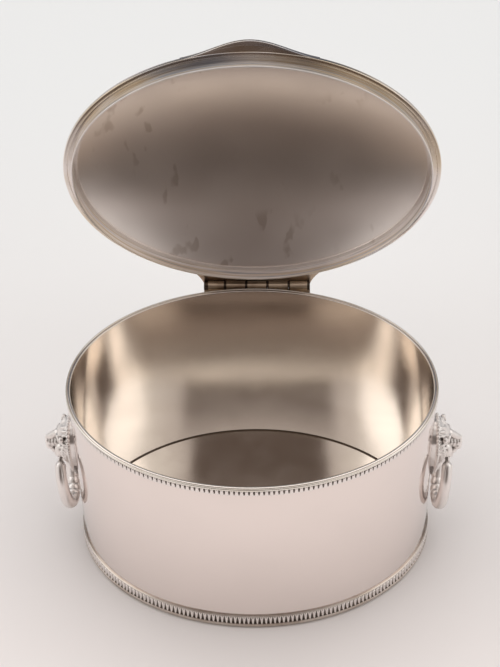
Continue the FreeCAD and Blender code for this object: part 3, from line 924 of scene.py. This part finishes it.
def clear_mouth(mask):
    """Cuts the bore for the ring's bar and the room that its arms swing through."""
    bore_radius = 1.15
    bore_length = 12
    room_middle = 7.2
    room_length = 6.4
    room_radius = 2.7
    room_mouth = 3.7
    room_back = 2.7
    work = bmesh.new()
    across = Matrix.Rotation(math.pi / 2, 4, "X")
    rod = Matrix.Translation(RING_PIVOT) @ across
    bmesh.ops.create_cone(work, cap_ends=True, segments=48, radius1=bore_radius, radius2=bore_radius,
                          depth=bore_length, matrix=rod)
    for side in (1, -1):
        middle = RING_PIVOT + Vector((0, side * room_middle, 0))
        first, second = (room_radius, room_mouth) if side < 0 else (room_mouth, room_radius)
        room = bmesh.new()
        bmesh.ops.create_cone(room, cap_ends=True, segments=48, radius1=first, radius2=second,
                              depth=room_length, matrix=Matrix.Translation(middle) @ across)
        for vertex in room.verts:
            vertex.co.x = max(vertex.co.x, RING_PIVOT.x - room_back)
        holder = bpy.data.meshes.new("arm_room")
        room.to_mesh(holder)
        room.free()
        work.from_mesh(holder)
    cutter_mesh = bpy.data.meshes.new("mouth_room")
    work.to_mesh(cutter_mesh)
    work.free()
    cutter_mesh.transform(Matrix.Scale(MM, 4))
    cutter = bpy.data.objects.new("mouth_room", cutter_mesh)
    bpy.context.scene.collection.objects.link(cutter)
    cut = mask.modifiers.new("mouth", "BOOLEAN")
    cut.operation = "DIFFERENCE"
    cut.object = cutter
    cut.solver = "EXACT"
    cut.use_self = True
    depsgraph = bpy.context.evaluated_depsgraph_get()
    result = bpy.data.meshes.new_from_object(mask.evaluated_get(depsgraph))
    mask.modifiers.clear()
    mask.data = result
    bpy.data.objects.remove(cutter)


def ring_centre_line(share, bar_half, half_width, drop, shoulder):
    """(across, down) and direction of the +Y half, from the bar's end to the bottom."""
    if share < 0.5:
        turn = math.pi * share
        across = bar_half + (half_width - bar_half) * math.sin(turn)
        down = drop * shoulder * (1 - math.cos(turn))
        slope = ((half_width - bar_half) * math.cos(turn), drop * shoulder * math.sin(turn))
    else:
        turn = math.pi * (share - 0.5)
        across = half_width * math.cos(turn)
        down = drop * shoulder + drop * (1 - shoulder) * math.sin(turn)
        slope = (-half_width * math.sin(turn), drop * (1 - shoulder) * math.cos(turn))
    length = math.hypot(*slope)
    return across, down, slope[0] / length, slope[1] / length


def smooth_step(low, high, value):
    """0 at low, 1 at high, easing in and out between them."""
    share = max(0.0, min(1.0, (value - low) / (high - low)))
    return share * share * (3 - 2 * share)


def build_rings():
    """Drop ring: a thin bar in the mouth, stout arms, and a fat bottom with ribs round it."""
    bar_half = 4.4
    bar_radius = 0.95
    arm_radius = 2.3
    bottom_radius = 3.0
    drop = 28.0
    half_width = 11.5
    shoulder = 0.45
    lean = math.radians(5)
    rib_rate = 11.8
    rib_depth = 0.4
    rib_power = 0.6
    half_count = 150
    stations = []
    for index in range(half_count + 1):
        share = index / half_count
        radius = bar_radius + (arm_radius - bar_radius) * smooth_step(0.0, 0.12, share)
        radius += (bottom_radius - arm_radius) * smooth_step(0.3, 1.0, share)
        line = ring_centre_line(share, bar_half, half_width, drop, shoulder)
        stations.append((*line, radius, smooth_step(0.74, 0.80, share)))
    bar = [(bar_half * k / 6, 0.0, 1.0, 0.0, bar_radius, 0.0) for k in range(6)]
    half = bar + stations
    other_half = reversed(half[1:-1])
    loop = half + [(-y, down, ty, -tz, radius, grip) for y, down, ty, tz, radius, grip in other_half]
    bottom_index = len(half) - 1
    sides = 48
    verts = []
    for index, (y, down, ty, tz, radius, grip) in enumerate(loop):
        offset = (index - bottom_index) / half_count
        for k in range(sides):
            turn = 2 * math.pi * k / sides
            wave = abs(math.cos(math.pi * offset * rib_rate)) ** rib_power
            r = radius - rib_depth * grip * (1 - wave)
            normal = r * math.sin(turn)
            verts.append((r * math.cos(turn), y + normal * tz, -down + normal * ty))
    rotation = Matrix.Rotation(lean, 3, "Y")
    placed = [rotation @ Vector(v) + RING_PIVOT for v in verts]
    faces = grid_faces(len(loop), sides)
    right = make_piece("right_drop_ring", placed, faces, MATERIALS["cast"], "right_ring",
                       ["right_ring"], sharp=60)
    mirrored_copy(right, "left_drop_ring", ["left_ring"], "left_ring")


# ------------------------------------------------------------------ studio and camera


def build_studio():
    """Pale sheet, soft boxes at both sides and behind, and a fill that only lights the sheet."""
    size = 6.0
    corners = [(-size, -size, 0), (size, -size, 0), (size, size, 0), (-size, size, 0)]
    mesh = bpy.data.meshes.new("floor")
    mesh.from_pydata(corners, [], [(0, 1, 2, 3)])
    floor = bpy.data.objects.new("floor_sheet", mesh)
    bpy.context.scene.collection.objects.link(floor)
    mesh.materials.append(floor_material())
    build_world()
    box_target = (0, 0, 0.09)
    area_light("left_softbox", (-1.05, 0.2, 1.0), box_target, width=1.5, height=0.85, power=2.9,
               tint=colour(1.0, 0.99, 0.97))
    area_light("right_softbox", (1.05, 0.2, 1.0), box_target, width=1.5, height=0.85, power=2.5,
               tint=colour(1.0, 0.97, 0.93))
    area_light("back_softbox", (0, 0.55, 1.45), (0, 0, 0.05), width=1.6, height=0.6, power=2.0,
               tint=colour(1.0, 0.98, 0.94))
    fill = area_light("sheet_fill", (0, 0.3, 2.0), (0, 0, 0), width=2.4, height=2.4, power=24.5,
                      tint=colour(1.0, 1.0, 1.0))
    fill.visible_glossy = False


BACKDROP = colour(0.88, 0.875, 0.86)
FADE_START = 1.0
FADE_END = 2.6


def floor_material():
    """Pale paper that fades into the backdrop, a little darker and warmer towards the front as painted
    shade; to reflections alone its front middle is near-black, a painted reflection.
    """
    material = bpy.data.materials.new("pale_floor")
    n = Nodes(material)
    place = n.add("ShaderNodeTexCoord").outputs["Object"]
    parts = n.add("ShaderNodeSeparateXYZ", Vector=place)
    # The darker, warmer tint towards the front is painted shade, the soft shadow in front of the bowl.
    shaded_front_tint = colour(0.775, 0.728, 0.715)
    far_tint = colour(0.745, 0.755, 0.76)
    painted_dark_reflection = colour(0.10, 0.07, 0.055)
    near_y = -0.15
    far_y = 0.35
    dark_reflection_full_y = -0.26
    dark_reflection_start_y = -0.18
    dark_reflection_full_x = 0.18
    dark_reflection_end_x = 0.34
    tint = n.mix(n.ramp(parts.outputs["Y"], near_y, far_y), shaded_front_tint, far_tint)
    # Painted reflection: seen only in reflections, the front middle of the sheet turns near-black.
    front = n.ramp(parts.outputs["Y"], dark_reflection_full_y, dark_reflection_start_y, 1.0, 0.0)
    middle = n.ramp(n.math("ABSOLUTE", parts.outputs["X"]), dark_reflection_full_x, dark_reflection_end_x, 1.0, 0.0)
    seen = n.tree.nodes.new("ShaderNodeLightPath").outputs["Is Camera Ray"]
    unseen = n.math("SUBTRACT", 1.0, seen)
    share = n.math("MULTIPLY", unseen, n.math("MULTIPLY", front, middle))
    tint = n.mix(share, tint, painted_dark_reflection)
    shader = n.add("ShaderNodeBsdfPrincipled", Base_Color=tint, Roughness=0.6)
    backdrop = n.add("ShaderNodeEmission", Color=BACKDROP)
    reach = n.add("ShaderNodeVectorMath", Vector=place)
    reach.operation = "LENGTH"
    fade = n.math("MULTIPLY", seen, n.ramp(reach.outputs["Value"], FADE_START, FADE_END))
    blend = n.add("ShaderNodeMixShader", Fac=fade)
    n.link(shader.outputs["BSDF"], blend.inputs[1])
    n.link(backdrop.outputs["Emission"], blend.inputs[2])
    output = n.add("ShaderNodeOutputMaterial")
    n.link(blend.outputs["Shader"], output.inputs["Surface"])
    return material


def build_world():
    """Plain and pale to the camera; elsewhere a dark strip in front, paler sides, a banded back."""
    world = bpy.data.worlds.new("studio")
    n = Nodes(world)
    direction = n.add("ShaderNodeTexCoord").outputs["Generated"]
    parts = n.add("ShaderNodeSeparateXYZ", Vector=direction)
    strip_shift = 0.028
    sideways = n.math("ABSOLUTE", n.math("ADD", parts.outputs["X"], strip_shift))
    behind = n.ramp(parts.outputs["Y"], 0.05, 0.45)
    high = n.ramp(parts.outputs["Z"], 0.745, 0.82)
    low = n.ramp(parts.outputs["Z"], 0.10, 0.30, 1.0, 0.0)
    middle = n.ramp(sideways, 0.365, 0.415, 1.0, 0.0)
    ahead = n.ramp(parts.outputs["Y"], -0.45, -0.10, 1.0, 0.0)
    below = n.ramp(parts.outputs["Z"], 0.78, 0.86, 1.0, 0.0)
    sides = n.ramp(sideways, 0.40, 0.60)
    front_tone = colour(0.58, 0.54, 0.52)
    side_tone = colour(0.80, 0.77, 0.74)
    back_middle_tone = colour(0.15, 0.155, 0.17)
    back_low_tone = colour(0.7, 0.69, 0.68)
    back_high_tone = colour(0.78, 0.765, 0.735)
    strip_tone = colour(0.105, 0.080, 0.069)
    room = n.mix(sides, front_tone, side_tone)
    back_wall = n.mix(low, back_middle_tone, back_low_tone)
    back_wall = n.mix(high, back_wall, back_high_tone)
    room = n.mix(behind, room, back_wall)
    strip = n.math("MULTIPLY", n.math("MULTIPLY", middle, ahead), below)
    room = n.mix(strip, room, strip_tone)
    seen = n.tree.nodes.new("ShaderNodeLightPath").outputs["Is Camera Ray"]
    room = n.mix(seen, room, BACKDROP)
    background = n.add("ShaderNodeBackground", Color=room, Strength=1.0)
    output = n.add("ShaderNodeOutputWorld")
    n.link(background.outputs["Background"], output.inputs["Surface"])
    bpy.context.scene.world = world


def area_light(name, position, target, width, height, power, tint):
    """A rectangular lamp in metres and watts, turned to its target."""
    light = bpy.data.lights.new(name, "AREA")
    light.shape = "RECTANGLE"
    light.size = width
    light.size_y = height
    light.energy = power
    light.color = tint[:3]
    lamp = bpy.data.objects.new(name, light)
    lamp.location = position
    aim = Vector(target) - Vector(position)
    lamp.rotation_euler = aim.to_track_quat("-Z", "Y").to_euler()
    bpy.context.scene.collection.objects.link(lamp)
    return lamp


def build_camera():
    """Looks down at the middle of the rim from in front."""
    elevation = math.radians(47.55)
    azimuth = math.radians(2.15)
    roll = math.radians(-1.56)
    distance = 0.7358
    focal = 98.9
    target = Vector((0, 0, RIM_Z * MM))
    back = Vector((math.sin(azimuth) * math.cos(elevation), -math.cos(azimuth) * math.cos(elevation),
                   math.sin(elevation)))
    level_right = (-back).cross(Vector((0, 0, 1))).normalized()
    level_up = level_right.cross(-back)
    right = level_right * math.cos(roll) + level_up * math.sin(roll)
    up = level_up * math.cos(roll) - level_right * math.sin(roll)
    camera_data = bpy.data.cameras.new("camera")
    camera_data.sensor_width = 36.0
    camera_data.lens = focal
    camera_data.shift_x = -0.0025
    camera_data.shift_y = 0.0759
    camera_data.clip_start = 0.01
    camera = bpy.data.objects.new("camera", camera_data)
    turn = Matrix((right, up, back)).transposed().to_4x4()
    camera.matrix_world = Matrix.Translation(target + back * distance) @ turn
    bpy.context.scene.collection.objects.link(camera)
    bpy.context.scene.camera = camera
    bpy.context.scene.view_settings.view_transform = "Standard"


# ------------------------------------------------------------------ build everything

build_wall()
build_floor()
build_rim()
build_beads("rim_bead_row", "rim_beads", inner=1.42, valley=1.44, crest=2.08, count=212,
            tip_down=False)
build_foot()
build_beads("foot_bead_row", "foot_beads", inner=1.44, valley=1.46, crest=2.2, count=222,
            tip_down=True)
build_hinge()
build_lid_rings()
build_dome()
build_thumb_piece()
build_plates()
build_masks()
build_rings()
build_studio()
build_camera()
